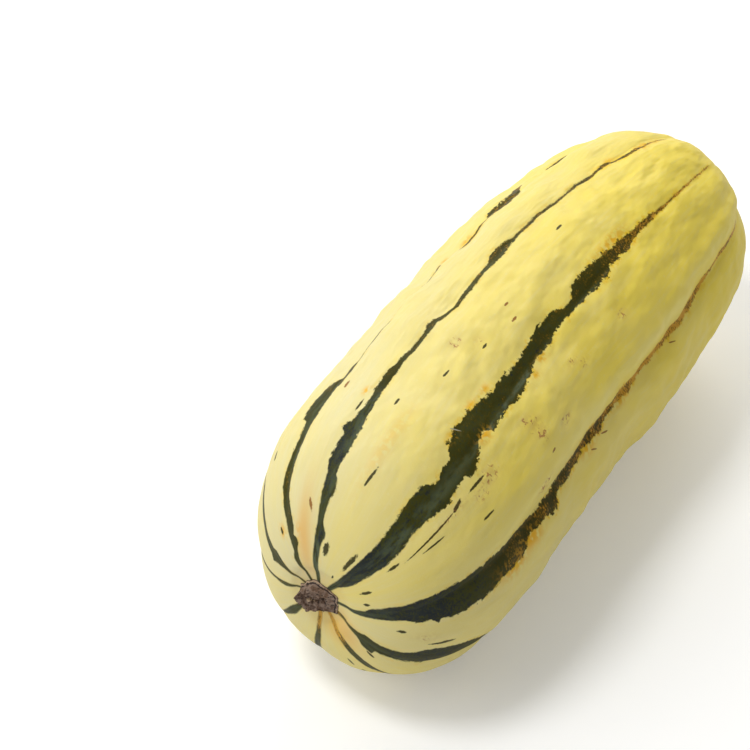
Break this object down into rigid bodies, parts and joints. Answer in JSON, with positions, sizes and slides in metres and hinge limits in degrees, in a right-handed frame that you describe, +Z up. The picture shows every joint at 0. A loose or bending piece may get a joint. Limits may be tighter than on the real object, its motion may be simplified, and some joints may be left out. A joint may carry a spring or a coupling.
{
  "type": "delicata squash",
  "caption": "Oblong ribbed winter squash with cream-yellow rind, ragged green stripes along its furrows and a short broken stem stub, resting on its side.",
  "frame": {"origin": "middle of the footprint, on the surface the squash rests on", "axes": "+X along the fruit's length from the stem end to the blossom end, +Z up"},
  "size_m": [0.2038, 0.0856, 0.0871],
  "materials": {
    "rind": "satin, waxy",
    "dry_stem": "dry, rough, unfinished"
  },
  "bodies": {
    "root": {"fruit": "rind", "stem_stub": "dry_stem"}
  },
  "joints": []
}
